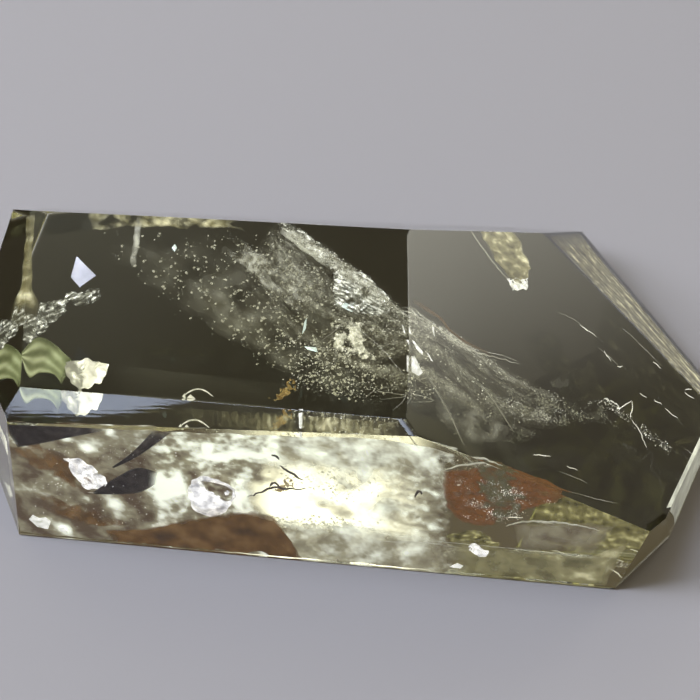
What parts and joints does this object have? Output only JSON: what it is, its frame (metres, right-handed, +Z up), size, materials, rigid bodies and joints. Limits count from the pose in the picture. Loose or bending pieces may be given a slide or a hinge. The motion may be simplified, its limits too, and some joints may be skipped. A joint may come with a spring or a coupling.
{
  "type": "polished citrine freeform",
  "caption": "Polished freeform of clear pale smoky citrine with flat facets and inner veils; lies on its base as a display stone.",
  "frame": {"origin": "middle of the footprint, on the flat face that the stone rests on", "axes": "+X along the long way of the stone towards its low end, +Z up, the tall front face towards -Y"},
  "size_m": [0.1016, 0.0648, 0.0294],
  "materials": {
    "citrine": "clear polished quartz, pale smoky yellow, see-through, index of refraction 1.545",
    "fracture": "silvery air-filled fractures and flakes inside the stone, bright where they catch the light",
    "veil": "milky white wisps and tiny bubbles inside the stone",
    "iron_stain": "rusty brown film and flecks inside the stone"
  },
  "bodies": {
    "root": {"citrine": "citrine"}
  },
  "joints": []
}
